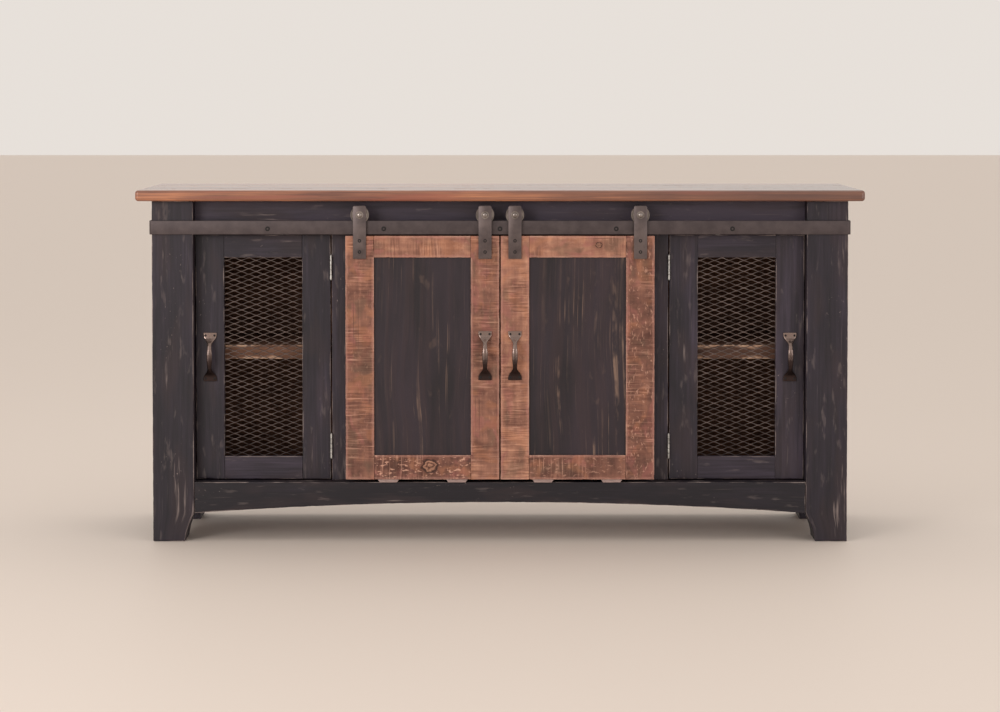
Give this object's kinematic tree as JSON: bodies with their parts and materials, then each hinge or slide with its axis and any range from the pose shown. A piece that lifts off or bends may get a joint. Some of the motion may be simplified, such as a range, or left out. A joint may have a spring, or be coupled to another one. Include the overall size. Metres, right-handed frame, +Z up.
{
  "type": "media console cabinet",
  "caption": "Rustic low media cabinet with hinged wire-mesh doors at the sides and two panelled barn doors hung from a steel track across the front.",
  "frame": {"origin": "on the floor, under the middle of the whole outline, handles included", "axes": "+X to the right of someone who faces the doors, +Y from the doors to the back, +Z up"},
  "size_m": [1.778, 0.4898, 0.864],
  "materials": {
    "painted_wood": "satin black milk paint, rubbed through at the edges",
    "painted_panel": "black paint rubbed through along the grain",
    "sawn_pine": "rough-sawn reclaimed pine, waxed",
    "stained_top": "red-brown stained pine, satin",
    "bare_wood": "dark stained pine, matt",
    "dark_steel": "hammered dark grey-brown",
    "mesh_steel": "dark oiled expanded metal",
    "cast_iron": "dark bronze, rubbed bright on the grip",
    "zinc": "bright zinc",
    "nylon": "pale grey-pink nylon"
  },
  "bodies": {
    "cabinet": {"top_panel": "stained_top", "post_front_left": "painted_wood", "post_rear_left": "painted_wood", "side_panel_left": "painted_wood", "side_apron_left": "painted_wood", "divider_panel_left": "bare_wood", "divider_stile_left": "painted_wood", "post_front_right": "painted_wood", "post_rear_right": "painted_wood", "side_panel_right": "painted_wood", "side_apron_right": "painted_wood", "divider_panel_right": "bare_wood", "divider_stile_right": "painted_wood", "header_rail": "painted_wood", "front_apron": "painted_wood", "rear_apron": "painted_wood", "bottom_panel": "bare_wood", "back_panel": "bare_wood", "door_track": "dark_steel", "track_bolt_1": "dark_steel", "track_bolt_2": "dark_steel", "track_bolt_3": "dark_steel", "track_bolt_4": "dark_steel", "track_bolt_5": "dark_steel", "hinge_frame_leaf_left_lower": "zinc", "hinge_frame_leaf_left_upper": "zinc", "hinge_frame_leaf_right_lower": "zinc", "hinge_frame_leaf_right_upper": "zinc"},
    "mesh_door_left": {"hinge_door_leaf_left_lower": "zinc", "hinge_door_leaf_left_upper": "zinc", "mesh_door_frame_left": "painted_wood", "mesh_sheet_left": "mesh_steel", "mesh_door_handle_left": "cast_iron"},
    "barn_door_left": {"barn_door_frame_left": "sawn_pine", "barn_door_panel_left": "painted_panel", "barn_door_handle_left": "cast_iron", "hanger_strap_left_inner": "dark_steel", "bottom_guide_left_inner": "nylon", "hanger_strap_left_outer": "dark_steel", "bottom_guide_left_outer": "nylon"},
    "hanger_wheel_left_inner": {"hanger_wheel_left_inner": "dark_steel"},
    "hanger_wheel_left_outer": {"hanger_wheel_left_outer": "dark_steel"},
    "mesh_door_right": {"hinge_door_leaf_right_lower": "zinc", "hinge_door_leaf_right_upper": "zinc", "mesh_door_frame_right": "painted_wood", "mesh_sheet_right": "mesh_steel", "mesh_door_handle_right": "cast_iron"},
    "barn_door_right": {"barn_door_frame_right": "sawn_pine", "barn_door_panel_right": "painted_panel", "barn_door_handle_right": "cast_iron", "hanger_strap_right_inner": "dark_steel", "bottom_guide_right_inner": "nylon", "hanger_strap_right_outer": "dark_steel", "bottom_guide_right_outer": "nylon"},
    "hanger_wheel_right_inner": {"hanger_wheel_right_inner": "dark_steel"},
    "hanger_wheel_right_outer": {"hanger_wheel_right_outer": "dark_steel"},
    "shelf_left": {"shelf_left": "bare_wood"},
    "shelf_centre": {"shelf_centre": "bare_wood"},
    "shelf_right": {"shelf_right": "bare_wood"}
  },
  "joints": [
    {"name": "mesh_door_left_swing", "type": "hinge", "parent": "cabinet", "child": "mesh_door_left", "pos_m": [-0.4155, -0.1739, 0.45], "axis": [0, 0, 1], "range_deg": [0, 105]},
    {"name": "barn_door_left_slide", "type": "slide", "parent": "cabinet", "child": "barn_door_left", "axis": [1, 0, 0], "range_m": [-0.365, 0]},
    {"name": "hanger_wheel_left_inner_spin", "type": "hinge", "parent": "barn_door_left", "child": "hanger_wheel_left_inner", "pos_m": [-0.0365, -0.2109, 0.8031], "axis": [0, 1, 0], "range_deg": [-1490, 0]},
    {"name": "hanger_wheel_left_outer_spin", "type": "hinge", "parent": "barn_door_left", "child": "hanger_wheel_left_outer", "pos_m": [-0.343, -0.2109, 0.8031], "axis": [0, 1, 0], "range_deg": [-1490, 0]},
    {"name": "mesh_door_right_swing", "type": "hinge", "parent": "cabinet", "child": "mesh_door_right", "pos_m": [0.4155, -0.1739, 0.45], "axis": [0, 0, -1], "range_deg": [0, 105]},
    {"name": "barn_door_right_slide", "type": "slide", "parent": "cabinet", "child": "barn_door_right", "axis": [-1, 0, 0], "range_m": [-0.365, 0]},
    {"name": "hanger_wheel_right_inner_spin", "type": "hinge", "parent": "barn_door_right", "child": "hanger_wheel_right_inner", "pos_m": [0.0365, -0.2109, 0.8031], "axis": [0, 1, 0], "range_deg": [0, 1490]},
    {"name": "hanger_wheel_right_outer_spin", "type": "hinge", "parent": "barn_door_right", "child": "hanger_wheel_right_outer", "pos_m": [0.343, -0.2109, 0.8031], "axis": [0, 1, 0], "range_deg": [0, 1490]},
    {"name": "shelf_left_lift", "type": "slide", "parent": "cabinet", "child": "shelf_left", "axis": [0, 0, 1], "range_m": [0, 0.012]},
    {"name": "shelf_centre_lift", "type": "slide", "parent": "cabinet", "child": "shelf_centre", "axis": [0, 0, 1], "range_m": [0, 0.012]},
    {"name": "shelf_right_lift", "type": "slide", "parent": "cabinet", "child": "shelf_right", "axis": [0, 0, 1], "range_m": [0, 0.012]}
  ],
  "couplings": [
    {"joint": "hanger_wheel_left_inner_spin", "follows": "barn_door_left_slide", "rad_per_m": 70.922},
    {"joint": "hanger_wheel_left_outer_spin", "follows": "barn_door_left_slide", "rad_per_m": 70.922},
    {"joint": "hanger_wheel_right_inner_spin", "follows": "barn_door_right_slide", "rad_per_m": -70.922},
    {"joint": "hanger_wheel_right_outer_spin", "follows": "barn_door_right_slide", "rad_per_m": -70.922}
  ]
}
